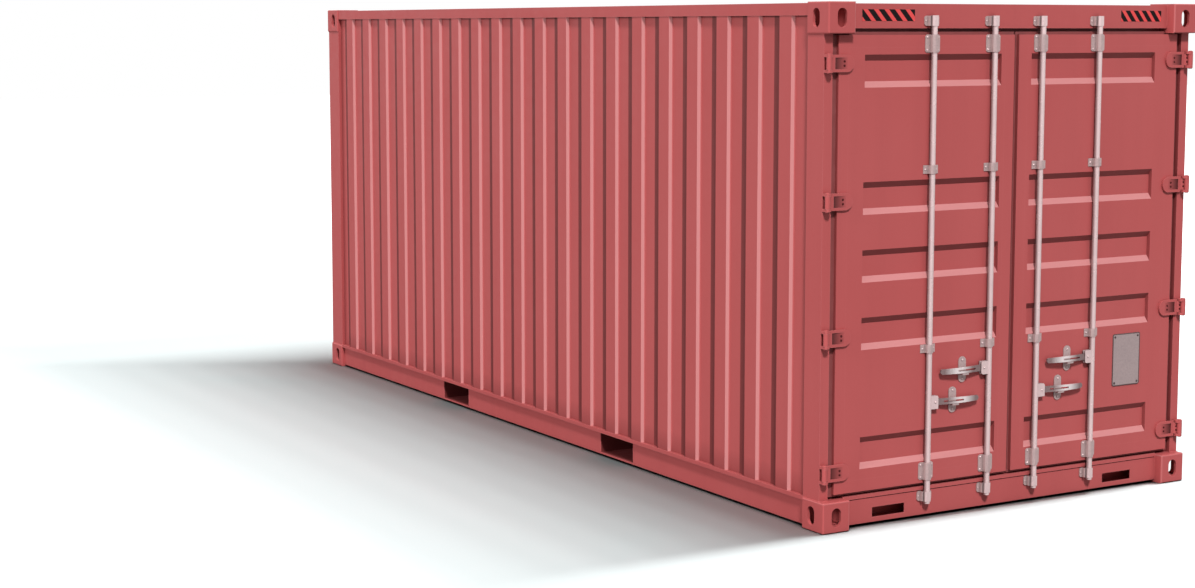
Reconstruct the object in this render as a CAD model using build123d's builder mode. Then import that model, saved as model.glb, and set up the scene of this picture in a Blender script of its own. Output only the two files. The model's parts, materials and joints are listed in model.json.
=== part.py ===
# Twenty foot shipping container with a pair of hinged doors at its +X end.
# X runs along the container, Z is up, and the origin is the middle of its base.
import os

from build123d import *

os.makedirs("parts", exist_ok=True)

# Overall size
length = 6058.0
width = 2438.0
height = 2591.0

# Corner castings
casting_length = 178.0
casting_width = 162.0
casting_height = 154.0
casting_plate = 28.0
casting_side = 16.0
casting_back = 10.0
casting_bevel = 5.0
slot_length = 124.0
slot_width = 63.5
slot_from_end = 102.5
slot_from_side = 89.5
oval_height = 94.0
oval_width = 57.0
end_oval_from_side = 80.0
side_oval_from_end = 102.5

# Frame members
side_inset = 7.0
blind_end_inset = 6.0
post_setback = 46.0
beam_setback = 54.0
post_wall = 6.0
post_face_width = 52.0
stop_depth = 61.0
stop_width = 60.0
blind_post_flat = 38.0
blind_post_taper_end = 62.0
rail_tube = 60.0
rail_tube_wall = 4.0
rail_rise = 2.0
roof_drop = 8.0
base_clearance = 14.0
sill_top = 160.0
beam_wall = 5.0
sill_lip_height = 18.0
sill_lip_stand = 5.0
sill_slot_width = 205.0
sill_slot_height = 50.0
sill_slot_from_casting = 282.0
sill_slot_centre_z = 63.0
header_height = 120.0
header_stop_height = 63.0
blind_beam_depth = 60.0

# Bottom side rails
rail_web_inset = 24.0
rail_lip_inset = 5.0
rail_flange_width = 64.0
rail_wall = 4.5
rail_lip_height = 20.0
rail_foot_width = 30.0
rail_bottom = 12.0

# Walls
sheet = 2.0
wall_inset = 10.0
wall_pitch = 280.0
wall_outer_flat = 104.0
wall_web_run = 14.0
wall_depth = 18.0
end_wall_inset = 20.0
end_wall_pitch = 250.0
end_wall_outer_flat = 110.0
end_wall_web_run = 18.0
end_wall_depth = 38.0

# Roof
swage_pitch = 278.0
swage_width = 92.0
swage_end_gap = 72.0
swage_depth = 20.0
swage_slope = 20.0

# Floor and base
cross_member_height = 122.0
cross_member_flange = 45.0
cross_member_wall = 4.0
cross_member_pitch = 280.0
floor_thickness = 28.0
seat_gap = 0.3
pocket_centre_x = 1025.0
pocket_width = 360.0
pocket_height = 115.0
pocket_wall = 3.5
pocket_strap = 260.0

# Doors
door_sill_gap = 20.0
door_head_gap = 32.0
door_centre_gap = 15.0
door_side_gap = 36.0
door_stand = 2.0
door_depth = 50.0
door_tube_width = 60.0
door_tube_wall = 3.0
panel_thickness = 2.0
recess_from_centre = 85.0
recess_from_edge = 157.0
recess_height = 160.0
recess_slope = 30.0
recess_end_slope = 5.0
recess_depth = 18.0
recess_from_bottom = 192.0
recess_from_top = 175.0
recess_step = 334.0
recess_middle_drop = 4.0

# Door gaskets
gasket_back = 8.0
gasket_lip = 30.0
gasket_hinge_gap = 11.0
gasket_centre_gap = 5.0
gasket_casting_gap = 7.0
gasket_top_reach = 15.0
gasket_bottom_reach = 13.0
gasket_band = 30.0

# Hinges
hinge_count = 4
hinge_from_bottom = 110.0
hinge_from_top = 136.0
hinge_stand = 28.0
pin_inset = 11.0
knuckle_radius = 14.0
knuckle_height = 60.0
pin_radius = 8.0
pin_clearance = 0.5
ear_thickness = 13.5
ear_gap = 0.5
ear_width = 34.0
ear_inner_bevel = 14.0
ear_outer_bevel = 6.0
blade_thickness = 8.0
blade_stand = 12.0
blade_height = 84.0
blade_reach = 84.0
blade_end_radius = 41.0
blade_ear_gap = 6.0
blade_shoulder = 12.0
blade_pocket_height = 56.0
blade_pocket_depth = 5.0
blade_pocket_start = 30.0
blade_pocket_end = 47.0
neck_front_inset = 7.0
neck_front_drop = 11.0
neck_back_inset = 11.0
neck_back_rise = 8.0
neck_back_drop = 5.0

# Lock rods, which pass in front of the doors
rod_stand = 17.0
rod_radius = 15.0
rod_wall = 3.0
rod_stub = 11.0
outer_rod_from_edge = 573.0
inner_rod_y = 160.0
rod_clearance = 0.5
bracket_wall = 3.0
bracket_foot = 4.0
bracket_width = 92.0
bracket_chamfer = 8.0
arch_bevel = 10.0
big_bracket_height = 88.0
small_bracket_height = 42.0
big_bracket_from_bottom = 61.0
big_bracket_from_top = 43.0
small_bracket_from_bottom = 685.0
small_bracket_from_top = 666.0
cam_height = 52.0
cam_length = 38.0
cam_width = 32.0
cam_chamfer = 8.0
keeper_below_sill = 48.0
keeper_above_header = 37.0
keeper_height = 49.0
keeper_half_gap = 23.0
keeper_jaw = 6.0
keeper_foot = 23.0
keeper_foot_thickness = 6.0
keeper_depth = 24.0
keeper_chamfer = 8.0

# Handles
handle_low_rise = 410.0
handle_high_rise = 560.0
handle_length = 320.0
pivot_offset = 37.0
hub_plate_height = 68.0
hub_plate_reach = 56.0
hub_plate_thickness = 4.0
hub_plate_corner = 12.0
hub_gap = 12.0
handle_thickness = 8.0
handle_root_height = 34.0
handle_tip_height = 27.0
handle_tip_bevel = 8.0
handle_straight = 30.0
handle_bow = 15.0
handle_bow_place = 205.0
handle_tip_stand = 4.0
handle_slot_length = 122.0
handle_slot_height = 8.0
handle_slot_place = 154.0
pivot_pin_radius = 6.0
catch_offset = 165.0
catch_width = 48.0
catch_height = 132.0
catch_thickness = 5.0
catch_shelf_width = 40.0
catch_shelf_thickness = 8.0
catch_shelf_reach = 34.0

# Data plate
plate_from_edge = 312.0
plate_rise = 519.0
plate_width = 195.0
plate_height = 280.0
plate_thickness = 3.0
plate_corner = 15.0

# Faces that several pieces share
half_length = length / 2
half_width = width / 2
casting_inner_x = half_length - casting_length
casting_inner_y = half_width - casting_width
upper_casting_bottom = height - casting_height
side_face = half_width - side_inset
post_face_x = half_length - post_setback
beam_face_x = half_length - beam_setback
stop_face_x = post_face_x - stop_depth
post_inner_y = side_face - post_face_width
stop_inner_y = post_inner_y - stop_width
blind_face_x = -(half_length - blind_end_inset)
blind_back_x = blind_face_x + blind_beam_depth
roof_top = height - roof_drop
header_bottom = roof_top - header_height
rail_tube_bottom = roof_top + rail_rise - rail_tube
rail_web_y = half_width - rail_web_inset
rail_inner_y = rail_web_y - rail_wall
rail_lip_y = half_width - rail_lip_inset
rail_flange_y = rail_lip_y - rail_flange_width
base_top = rail_bottom + rail_wall
floor_bottom = base_top + cross_member_height
floor_top = floor_bottom + floor_thickness
pocket_bottom = base_top + pocket_wall
door_face_x = post_face_x + door_stand
door_back_x = door_face_x - door_depth
door_bottom = sill_top + door_sill_gap
door_top = header_bottom - door_head_gap
door_edge_y = post_inner_y - door_side_gap
door_middle_y = (door_centre_gap + door_edge_y) / 2
door_middle_z = (door_bottom + door_top) / 2
door_width = door_edge_y - door_centre_gap
door_height = door_top - door_bottom
hinge_x = post_face_x + hinge_stand
hinge_y = side_face - pin_inset
ear_inner_y = side_face - ear_width
rod_x = door_face_x + rod_stand
outer_rod_y = door_edge_y - outer_rod_from_edge
rod_places_y = [-outer_rod_y, -inner_rod_y, inner_rod_y, outer_rod_y]
left_rods = rod_places_y[:2]
right_rods = rod_places_y[2:]
keeper_places_z = [sill_top - keeper_below_sill, header_bottom + keeper_above_header]
rod_bottom = keeper_places_z[0] - cam_height / 2 - rod_stub
rod_top = keeper_places_z[1] + cam_height / 2


def save(piece, node):
    """Names a finished piece after its node and writes it."""
    piece.part.label = node
    export_step(piece.part, f"parts/{node}.step")


def mirrored(piece, plane):
    """The same piece on the other side of the container."""
    with BuildPart() as other:
        mirror(piece.part, about=plane)
    return other


def save_pair(piece, right_node, left_node):
    """Writes a piece of the +Y side and its mirror image on the -Y side."""
    save(piece, right_node)
    save(mirrored(piece, Plane.XZ), left_node)


def cut_box(low, high):
    """Cuts a block between two corners out of the part being built."""
    size = [b - a for a, b in zip(low, high)]
    middle = [(a + b) / 2 for a, b in zip(low, high)]
    with Locations(tuple(middle)):
        Box(*size, mode=Mode.SUBTRACT)


def add_box(low, high):
    """Adds a block between two corners to the part being built."""
    size = [b - a for a, b in zip(low, high)]
    middle = [(a + b) / 2 for a, b in zip(low, high)]
    with Locations(tuple(middle)):
        Box(*size)


def is_outer_edge(edge):
    """Whether an edge of a corner casting borders its outer end or side face."""
    middle = edge.center()
    return middle.X > half_length - casting_bevel or middle.Y > half_width - casting_bevel


def foot_corners(piece, foot_thickness):
    """The corners of a piece's feet: the edges along X that are only as long as a foot is thick."""
    return piece.edges().filter_by(Axis.X).filter_by(lambda edge: edge.length < foot_thickness + seat_gap)


# Corner castings: hollow blocks with a slot in the top or bottom and an oval hole in each outer face
with BuildPart() as castings_door_end:
    add_box((casting_inner_x, casting_inner_y, 0), (half_length, half_width, casting_height))
    chamfer(castings_door_end.edges().filter_by(is_outer_edge), casting_bevel)
    cut_box(
        (casting_inner_x + casting_back, casting_inner_y + casting_back, casting_plate),
        (half_length - casting_side, half_width - casting_side, casting_height - casting_back),
    )
    with BuildSketch(Plane.XY):
        with Locations((half_length - slot_from_end, half_width - slot_from_side)):
            SlotOverall(slot_length, slot_width)
    extrude(amount=casting_plate, mode=Mode.SUBTRACT)
    with BuildSketch(Plane.YZ.offset(half_length)):
        with Locations((half_width - end_oval_from_side, casting_height / 2)):
            SlotOverall(oval_height, oval_width, rotation=90)
    extrude(amount=-casting_side, mode=Mode.SUBTRACT)
    with BuildSketch(Plane.XZ.offset(-half_width)):
        with Locations((half_length - side_oval_from_end, casting_height / 2)):
            SlotOverall(oval_height, oval_width, rotation=90)
    extrude(amount=casting_side, mode=Mode.SUBTRACT)
    mirror(about=Plane.XY.offset(height / 2))
    mirror(about=Plane.XZ)
save(castings_door_end, "castings_door_end")
save(mirrored(castings_door_end, Plane.YZ), "castings_blind_end")

# Door posts: a closed section with a rebate that the door shuts into
with BuildPart() as door_post:
    with BuildSketch(Plane.XY.offset(casting_height)):
        with BuildLine():
            Polyline(
                (post_face_x, side_face),
                (post_face_x, post_inner_y),
                (stop_face_x, post_inner_y),
                (stop_face_x, stop_inner_y),
                (casting_inner_x, stop_inner_y),
                (casting_inner_x, side_face),
                close=True,
            )
        make_face()
        offset(amount=-post_wall, kind=Kind.INTERSECTION, mode=Mode.SUBTRACT)
    extrude(amount=upper_casting_bottom - casting_height)
save_pair(door_post, "door_post_right", "door_post_left")

# Blind end posts: a closed section with a slanted inner face
with BuildPart() as blind_post:
    with BuildSketch(Plane.XY.offset(casting_height)):
        with BuildLine():
            Polyline(
                (blind_face_x, side_face),
                (blind_face_x, casting_inner_y),
                (blind_face_x + blind_post_flat, casting_inner_y),
                (-casting_inner_x, side_face - blind_post_taper_end),
                (-casting_inner_x, side_face),
                close=True,
            )
        make_face()
        offset(amount=-post_wall, kind=Kind.INTERSECTION, mode=Mode.SUBTRACT)
    extrude(amount=upper_casting_bottom - casting_height)
save_pair(blind_post, "blind_post_right", "blind_post_left")

# Top side rails: square tubes between the upper castings
with BuildPart() as top_rail:
    with BuildSketch(Plane.YZ.offset(-casting_inner_x)):
        with Locations((side_face - rail_tube / 2, rail_tube_bottom + rail_tube / 2)):
            Rectangle(rail_tube, rail_tube)
            offset(amount=-rail_tube_wall, kind=Kind.INTERSECTION, mode=Mode.SUBTRACT)
    extrude(amount=2 * casting_inner_x)
save_pair(top_rail, "top_rail_right", "top_rail_left")


def rail_section(start_x):
    """The bottom side rail's profile: a channel with a turned down lip."""
    with BuildSketch(Plane.YZ.offset(start_x)) as section:
        with BuildLine():
            Polyline(
                (rail_flange_y, sill_top),
                (rail_lip_y, sill_top),
                (rail_lip_y, sill_top - rail_lip_height),
                (rail_lip_y - rail_wall, sill_top - rail_lip_height),
                (rail_lip_y - rail_wall, sill_top - rail_wall),
                (rail_web_y, sill_top - rail_wall),
                (rail_web_y, rail_bottom),
                (rail_web_y - rail_foot_width, rail_bottom),
                (rail_web_y - rail_foot_width, base_top),
                (rail_inner_y, base_top),
                (rail_inner_y, sill_top - rail_wall),
                (rail_flange_y, sill_top - rail_wall),
                close=True,
            )
        make_face()
    return section


# Bottom side rails: three lengths each, which stop at the fork pockets
pocket_near_x = pocket_centre_x - pocket_width / 2
pocket_far_x = pocket_centre_x + pocket_width / 2
with BuildPart() as bottom_rail:
    for start_x, end_x in (
        (-casting_inner_x, -pocket_far_x),
        (-pocket_near_x, pocket_near_x),
        (pocket_far_x, casting_inner_x),
    ):
        extrude(rail_section(start_x).sketch, amount=end_x - start_x)
save_pair(bottom_rail, "bottom_rail_right", "bottom_rail_left")

# Pocket bridges: what is left of the rail's profile above and below each fork pocket
with BuildPart() as pocket_bridges:
    for start_x in (-pocket_far_x, pocket_near_x):
        extrude(rail_section(start_x).sketch, amount=pocket_width)
    cut_box(
        (-pocket_far_x, rail_flange_y, pocket_bottom),
        (pocket_far_x, rail_web_y, pocket_bottom + pocket_height),
    )
    mirror(about=Plane.XZ)
save(pocket_bridges, "pocket_bridges")

# Door header: a closed section between the upper castings
with BuildPart() as door_header:
    with BuildSketch(Plane.XZ):
        with Locations(((casting_inner_x + beam_face_x) / 2, (header_bottom + roof_top) / 2)):
            Rectangle(beam_face_x - casting_inner_x, header_height)
            offset(amount=-beam_wall, kind=Kind.INTERSECTION, mode=Mode.SUBTRACT)
    extrude(amount=casting_inner_y, both=True)
save(door_header, "door_header")

# Header stop: a tube under the header that the doors close against, notched under the castings
with BuildPart() as header_stop:
    with BuildSketch(Plane.XZ):
        with Locations(((casting_inner_x + stop_face_x) / 2, header_bottom - header_stop_height / 2)):
            Rectangle(stop_face_x - casting_inner_x, header_stop_height)
            offset(amount=-beam_wall, kind=Kind.INTERSECTION, mode=Mode.SUBTRACT)
    extrude(amount=stop_inner_y, both=True)
    for low_y, high_y in ((casting_inner_y, half_width), (-half_width, -casting_inner_y)):
        cut_box((casting_inner_x, low_y, upper_casting_bottom), (stop_face_x, high_y, header_bottom))
save(header_stop, "header_stop")

# Door sill: a closed section between the lower castings, with two slots in its face
with BuildPart() as door_sill:
    with BuildSketch(Plane.XZ):
        with Locations(((casting_inner_x + beam_face_x) / 2, (base_clearance + sill_top) / 2)):
            Rectangle(beam_face_x - casting_inner_x, sill_top - base_clearance)
            offset(amount=-beam_wall, kind=Kind.INTERSECTION, mode=Mode.SUBTRACT)
    extrude(amount=casting_inner_y, both=True)
    sill_slot_y = casting_inner_y - sill_slot_from_casting
    with BuildSketch(Plane.YZ.offset(beam_face_x)):
        with Locations((-sill_slot_y, sill_slot_centre_z), (sill_slot_y, sill_slot_centre_z)):
            Rectangle(sill_slot_width, sill_slot_height)
    extrude(amount=-beam_wall, mode=Mode.SUBTRACT)
save(door_sill, "door_sill")

# Sill lip: a bar along the sill's top edge that throws rain off the joint
with BuildPart() as sill_lip:
    add_box(
        (beam_face_x, -casting_inner_y, sill_top - sill_lip_height),
        (beam_face_x + sill_lip_stand, casting_inner_y, sill_top),
    )
save(sill_lip, "sill_lip")

# Blind end header: a tube with a plate that reaches back to the roof
with BuildPart() as blind_header:
    with BuildSketch(Plane.XZ):
        with Locations(((blind_face_x + blind_back_x) / 2, (upper_casting_bottom + roof_top) / 2)):
            Rectangle(blind_beam_depth, roof_top - upper_casting_bottom)
            offset(amount=-beam_wall, kind=Kind.INTERSECTION, mode=Mode.SUBTRACT)
    extrude(amount=casting_inner_y, both=True)
    add_box(
        (blind_back_x, -casting_inner_y, roof_top - beam_wall),
        (-casting_inner_x, casting_inner_y, roof_top),
    )
save(blind_header, "blind_header")

# Blind end sill: a tube between the lower castings
with BuildPart() as blind_sill:
    with BuildSketch(Plane.XZ):
        with Locations(((blind_face_x + blind_back_x) / 2, (base_clearance + sill_top) / 2)):
            Rectangle(blind_beam_depth, sill_top - base_clearance)
            offset(amount=-beam_wall, kind=Kind.INTERSECTION, mode=Mode.SUBTRACT)
    extrude(amount=casting_inner_y, both=True)
save(blind_sill, "blind_sill")


def corrugated_points(flat_edges, start, end, outer, depth, inward):
    """Corners of a folded sheet: outer flats between the given edges, at a constant sheet thickness."""
    face = [(start, outer + inward * depth)]
    for first, last, run in flat_edges:
        face += [(first - run, outer + inward * depth), (first, outer)]
        face += [(last, outer), (last + run, outer + inward * depth)]
    face.append((end, outer + inward * depth))
    back = [(along, across + inward * sheet) for along, across in reversed(face)]
    return face + back


# Side walls: trapezoidal corrugations that stand upright between the rails
wall_outer_y = half_width - wall_inset
wall_ridges = int((2 * casting_inner_x - 2 * wall_web_run) // wall_pitch)
ridge_edges = []
for ridge in range(wall_ridges):
    middle = (ridge - (wall_ridges - 1) / 2) * wall_pitch
    ridge_edges.append((middle - wall_outer_flat / 2, middle + wall_outer_flat / 2, wall_web_run))
side_wall_points = corrugated_points(
    ridge_edges, -casting_inner_x, casting_inner_x, wall_outer_y, wall_depth, -1
)
with BuildPart() as side_wall:
    with BuildSketch(Plane.XY.offset(sill_top)):
        with BuildLine():
            Polyline(*side_wall_points, close=True)
        make_face()
    extrude(amount=rail_tube_bottom - sill_top)
save_pair(side_wall, "side_wall_right", "side_wall_left")

# Blind end wall: deeper corrugations, with outer flats that meet the posts
end_wall_outer_x = half_length - end_wall_inset
end_wall_troughs = int(2 * casting_inner_y // end_wall_pitch)
trough_points = [(-casting_inner_y, -end_wall_outer_x)]
for trough in range(end_wall_troughs):
    middle = (trough - (end_wall_troughs - 1) / 2) * end_wall_pitch
    half_trough = (end_wall_pitch - end_wall_outer_flat) / 2
    trough_points += [
        (middle - half_trough, -end_wall_outer_x),
        (middle - half_trough + end_wall_web_run, -end_wall_outer_x + end_wall_depth),
        (middle + half_trough - end_wall_web_run, -end_wall_outer_x + end_wall_depth),
        (middle + half_trough, -end_wall_outer_x),
    ]
trough_points.append((casting_inner_y, -end_wall_outer_x))
end_wall_points = [(x, y) for y, x in trough_points]
end_wall_points += [(x + sheet, y) for y, x in reversed(trough_points)]
with BuildPart() as end_wall:
    with BuildSketch(Plane.XY.offset(sill_top)):
        with BuildLine():
            Polyline(*end_wall_points, close=True)
        make_face()
    extrude(amount=upper_casting_bottom - sill_top)
save(end_wall, "end_wall")

# Roof: one sheet with closed swages pressed down across it
swage_count = int(2 * casting_inner_x // swage_pitch)
swage_end_y = side_face - rail_tube - swage_end_gap


def swage_blocks(mouth_z):
    """Blocks that narrow downwards from the given height, one for each swage."""
    floor_z = mouth_z - swage_depth
    with BuildPart() as blocks:
        with BuildSketch(Plane.XZ) as across:
            for swage in range(swage_count):
                swage_x = (swage - (swage_count - 1) / 2) * swage_pitch
                with BuildLine():
                    Polyline(
                        (swage_x - swage_width / 2, mouth_z),
                        (swage_x - swage_width / 2 + swage_slope, floor_z),
                        (swage_x + swage_width / 2 - swage_slope, floor_z),
                        (swage_x + swage_width / 2, mouth_z),
                        close=True,
                    )
                make_face()
        extrude(across.sketch, amount=swage_end_y, both=True)
        with BuildSketch(Plane.YZ) as along:
            with BuildLine():
                Polyline(
                    (-swage_end_y, mouth_z),
                    (-swage_end_y + swage_slope, floor_z),
                    (swage_end_y - swage_slope, floor_z),
                    (swage_end_y, mouth_z),
                    close=True,
                )
            make_face()
        extrude(along.sketch, amount=casting_inner_x, both=True, mode=Mode.INTERSECT)
    return blocks


with BuildPart() as roof_sheet:
    add_box(
        (-casting_inner_x, -(side_face - rail_tube), roof_top - sheet),
        (casting_inner_x, side_face - rail_tube, roof_top),
    )
    add(swage_blocks(roof_top - sheet).part)
    add(swage_blocks(roof_top).part, mode=Mode.SUBTRACT)
save(roof_sheet, "roof_sheet")

# Plywood floor, notched round the blind end posts
with BuildPart() as floor_boards:
    add_box(
        (-casting_inner_x, -(rail_flange_y - seat_gap), floor_bottom),
        (casting_inner_x, rail_flange_y - seat_gap, floor_top),
    )
    add_box(
        (blind_back_x, -(casting_inner_y - seat_gap), floor_bottom),
        (-casting_inner_x, casting_inner_y - seat_gap, floor_top),
    )
save(floor_boards, "floor_boards")

# Cross members: channels under the floor, left out where the fork pockets run
pocket_outer_half = pocket_width / 2 + pocket_wall
cross_member_count = int((2 * casting_inner_x - cross_member_flange) // cross_member_pitch) + 1
with BuildPart() as cross_members:
    with BuildSketch(Plane.XZ):
        for member in range(cross_member_count):
            member_x = (member - (cross_member_count - 1) / 2) * cross_member_pitch
            low_edge = pocket_centre_x - pocket_outer_half - cross_member_flange
            high_edge = pocket_centre_x + pocket_outer_half
            if low_edge < abs(member_x) < high_edge:
                continue
            with Locations((member_x, (base_top + floor_bottom) / 2)):
                Rectangle(cross_member_flange, cross_member_height)
            with Locations((member_x + cross_member_wall, (base_top + floor_bottom) / 2)):
                Rectangle(
                    cross_member_flange,
                    cross_member_height - 2 * cross_member_wall,
                    mode=Mode.SUBTRACT,
                )
    extrude(amount=rail_inner_y, both=True)
save(cross_members, "cross_members")

# Fork pocket sides: plates across the base on each side of the two pockets
with BuildPart() as pocket_sides:
    pocket_starts = (-pocket_far_x, -pocket_near_x + pocket_wall, pocket_near_x, pocket_far_x + pocket_wall)
    for side_x in pocket_starts:
        add_box(
            (side_x - pocket_wall, -rail_inner_y, base_top),
            (side_x, rail_inner_y, pocket_bottom + pocket_height + pocket_wall),
        )
save(pocket_sides, "pocket_sides")

# Fork pocket plates: a full top, and a strap under each end that keeps a fork tine up
strap_inner_y = rail_inner_y - pocket_strap
with BuildPart() as pocket_plates:
    for start_x in (-pocket_far_x, pocket_near_x):
        end_x = start_x + pocket_width
        add_box(
            (start_x, -rail_inner_y, pocket_bottom + pocket_height),
            (end_x, rail_inner_y, pocket_bottom + pocket_height + pocket_wall),
        )
        add_box((start_x, strap_inner_y, base_top), (end_x, rail_inner_y, pocket_bottom))
        add_box((start_x, -rail_inner_y, base_top), (end_x, -strap_inner_y, pocket_bottom))
save(pocket_plates, "pocket_plates")

# Cam keepers: a pair of jaws on the sill and on the header beside each rod
keeper_front_x = beam_face_x + keeper_depth
with BuildPart() as cam_keepers:
    for keeper_z in keeper_places_z:
        with BuildSketch(Plane.XY.offset(keeper_z - keeper_height / 2)):
            for rod_y in rod_places_y:
                for side in (-1, 1):
                    jaw_y = rod_y + side * (keeper_half_gap + keeper_jaw / 2)
                    with Locations(((beam_face_x + keeper_front_x) / 2, jaw_y)):
                        Rectangle(keeper_depth, keeper_jaw)
                    foot_y = rod_y + side * (keeper_half_gap + keeper_foot / 2)
                    with Locations((beam_face_x + keeper_foot_thickness / 2, foot_y)):
                        Rectangle(keeper_foot_thickness, keeper_foot)
        extrude(amount=keeper_height)
    chamfer(foot_corners(cam_keepers, keeper_foot_thickness), keeper_chamfer)
save(cam_keepers, "cam_keepers")

# Hinge lugs: two bevelled ears on the post with the pin between them
hinge_step = (door_height - hinge_from_bottom - hinge_from_top) / (hinge_count - 1)
hinge_heights = [door_bottom + hinge_from_bottom + step * hinge_step for step in range(hinge_count)]
ear_front_x = hinge_x + knuckle_radius
ear_start = knuckle_height / 2 + ear_gap
with BuildPart() as hinge_lugs:
    for hinge_z in hinge_heights:
        for side in (-1, 1):
            with BuildSketch(Plane.XY.offset(hinge_z + side * (ear_start + ear_thickness / 2))):
                with BuildLine():
                    Polyline(
                        (post_face_x, ear_inner_y),
                        (ear_front_x - ear_inner_bevel, ear_inner_y),
                        (ear_front_x, ear_inner_y + ear_inner_bevel),
                        (ear_front_x, side_face - ear_outer_bevel),
                        (ear_front_x - ear_outer_bevel, side_face),
                        (post_face_x, side_face),
                        close=True,
                    )
                make_face()
            extrude(amount=ear_thickness / 2, both=True)
        with BuildSketch(Plane.XY.offset(hinge_z)):
            with Locations((hinge_x, hinge_y)):
                Circle(pin_radius)
        extrude(amount=ear_start, both=True)
    mirror(about=Plane.XZ)
save(hinge_lugs, "hinge_lugs")

# Right door frame: tubes all round, with the uprights open at their ends, and mirrored for the left door
with BuildPart() as door_frame:
    with BuildSketch(Plane.YZ.offset(door_back_x)):
        with Locations((door_middle_y, door_middle_z)):
            Rectangle(door_width, door_height)
            Rectangle(
                door_width - 2 * door_tube_width,
                door_height - 2 * door_tube_width,
                mode=Mode.SUBTRACT,
            )
    extrude(amount=door_depth)
    cross_bore_length = door_width - 2 * door_tube_width + 2 * door_tube_wall
    with BuildSketch(Plane.YZ.offset(door_back_x + door_tube_wall)):
        with Locations((door_middle_y, door_middle_z)):
            Rectangle(door_width - 2 * door_tube_wall, door_height)
            Rectangle(cross_bore_length, door_height, mode=Mode.SUBTRACT)
        for tube_z in (door_bottom + door_tube_width / 2, door_top - door_tube_width / 2):
            with Locations((door_middle_y, tube_z)):
                Rectangle(cross_bore_length, door_tube_width - 2 * door_tube_wall)
    extrude(amount=door_depth - 2 * door_tube_wall, mode=Mode.SUBTRACT)
save_pair(door_frame, "right_door_frame", "left_door_frame")


recess_middle_z = door_middle_z - recess_middle_drop
recess_centres_z = [
    door_bottom + recess_from_bottom,
    recess_middle_z - recess_step,
    recess_middle_z,
    recess_middle_z + recess_step,
    door_top - recess_from_top,
]


def recess_blocks(face_x, grow):
    """Blocks that narrow from the given face towards their floors, one for each recess."""
    floor_x = face_x - recess_depth
    low_y = door_centre_gap + recess_from_centre - grow
    high_y = door_edge_y - recess_from_edge + grow
    half_mouth = recess_height / 2 + grow
    half_floor = half_mouth - recess_slope
    with BuildPart() as blocks:
        with BuildSketch(Plane.XZ.offset(-high_y)) as upright:
            for recess_z in recess_centres_z:
                with BuildLine():
                    Polyline(
                        (face_x, recess_z - half_mouth),
                        (face_x, recess_z + half_mouth),
                        (floor_x, recess_z + half_floor),
                        (floor_x, recess_z - half_floor),
                        close=True,
                    )
                make_face()
        extrude(upright.sketch, amount=high_y - low_y)
        with BuildSketch(Plane.XY.offset(door_bottom)) as level:
            with BuildLine():
                Polyline(
                    (face_x, low_y),
                    (face_x, high_y),
                    (floor_x, high_y - recess_end_slope),
                    (floor_x, low_y + recess_end_slope),
                    close=True,
                )
            make_face()
        extrude(level.sketch, amount=door_height, mode=Mode.INTERSECT)
    return blocks


# Door panel: one pressed sheet with five recesses
with BuildPart() as door_panel:
    add_box(
        (door_face_x - panel_thickness, door_centre_gap + door_tube_width, door_bottom + door_tube_width),
        (door_face_x, door_edge_y - door_tube_width, door_top - door_tube_width),
    )
    add(recess_blocks(door_face_x - panel_thickness, panel_thickness / 2).part)
    add(recess_blocks(door_face_x, 0).part, mode=Mode.SUBTRACT)
save_pair(door_panel, "right_door_panel", "left_door_panel")

# Door gasket: a rubber band behind the frame with a lip round the door's edge, lower under the casting
gasket_outer_y = post_inner_y - gasket_hinge_gap
gasket_top_end_y = casting_inner_y - gasket_casting_gap
gasket_low_z = door_bottom - gasket_bottom_reach
gasket_high_z = door_top + gasket_top_reach
with BuildPart() as door_gasket:
    for start_x, depth, inner_width, inner_height in (
        (door_back_x - gasket_back, gasket_back, door_width - 2 * gasket_band, door_height - 2 * gasket_band),
        (door_back_x, gasket_lip, door_width, door_height),
    ):
        with BuildSketch(Plane.YZ.offset(start_x)):
            with Locations(((gasket_centre_gap + gasket_outer_y) / 2, (gasket_low_z + door_top) / 2)):
                Rectangle(gasket_outer_y - gasket_centre_gap, door_top - gasket_low_z)
            with Locations(((gasket_centre_gap + gasket_top_end_y) / 2, (gasket_high_z + door_middle_z) / 2)):
                Rectangle(gasket_top_end_y - gasket_centre_gap, gasket_high_z - door_middle_z)
            with Locations((door_middle_y, door_middle_z)):
                Rectangle(inner_width, inner_height, mode=Mode.SUBTRACT)
        extrude(amount=depth)
save_pair(door_gasket, "right_door_gasket", "left_door_gasket")

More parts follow.
